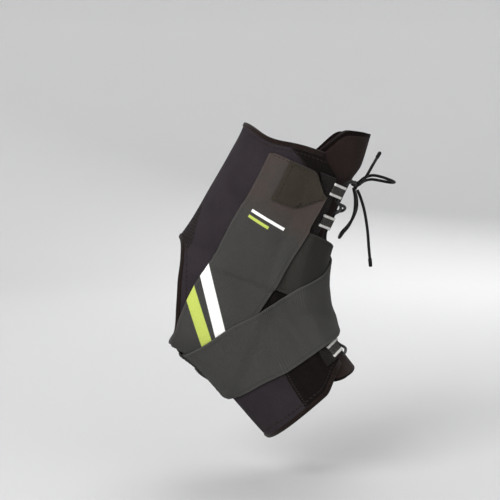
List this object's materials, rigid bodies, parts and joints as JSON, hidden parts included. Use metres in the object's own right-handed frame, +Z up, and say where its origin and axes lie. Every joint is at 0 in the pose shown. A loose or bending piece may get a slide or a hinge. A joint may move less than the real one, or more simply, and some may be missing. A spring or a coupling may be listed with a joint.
{
  "type": "ankle brace",
  "caption": "Lace-up ankle brace in its worn form, with a padded tongue, an open heel and two straps that cross over the instep and climb the sides",
  "frame": {"origin": "centre of the wearer's ankle, inside the hollow, where the brace sits on the leg", "axes": "+X toward the toes, +Y toward the inner side of the right foot, +Z up with the leg leaning forward and the sole sloping down to the toes"},
  "size_m": [0.1716, 0.0876, 0.2373],
  "materials": {
    "neoprene": "matte knit-faced neoprene",
    "tongue": "matte padded cloth",
    "binding": "satin binding tape",
    "strip": "matte woven tape",
    "loop": "woven webbing with pale edges",
    "lace": "braided",
    "webbing": "ribbed elastic webbing",
    "tab": "matte napped tape"
  },
  "bodies": {
    "root": {"tongue": "tongue", "boot": "neoprene", "top_binding": "binding", "foot_binding": "binding", "heel_binding": "binding", "outer_lacing_strip": "strip", "inner_lacing_strip": "strip", "outer_loop_1": "loop", "outer_loop_2": "loop", "outer_loop_3": "loop", "outer_loop_4": "loop", "outer_loop_5": "loop", "outer_loop_6": "loop", "inner_loop_1": "loop", "inner_loop_2": "loop", "inner_loop_3": "loop", "inner_loop_4": "loop", "inner_loop_5": "loop", "inner_loop_6": "loop", "lacing": "lace", "bow_knot": "lace", "near_bow_loop": "lace", "far_bow_loop": "lace", "hanging_lace_end": "lace", "upper_lace_end": "lace", "hanging_lace_tip": "lace", "upper_lace_tip": "lace", "under_cross_strap": "webbing", "outer_side_strap": "webbing", "over_cross_strap": "webbing", "inner_side_strap": "webbing", "outer_tab": "tab", "inner_tab": "tab"}
  },
  "joints": []
}
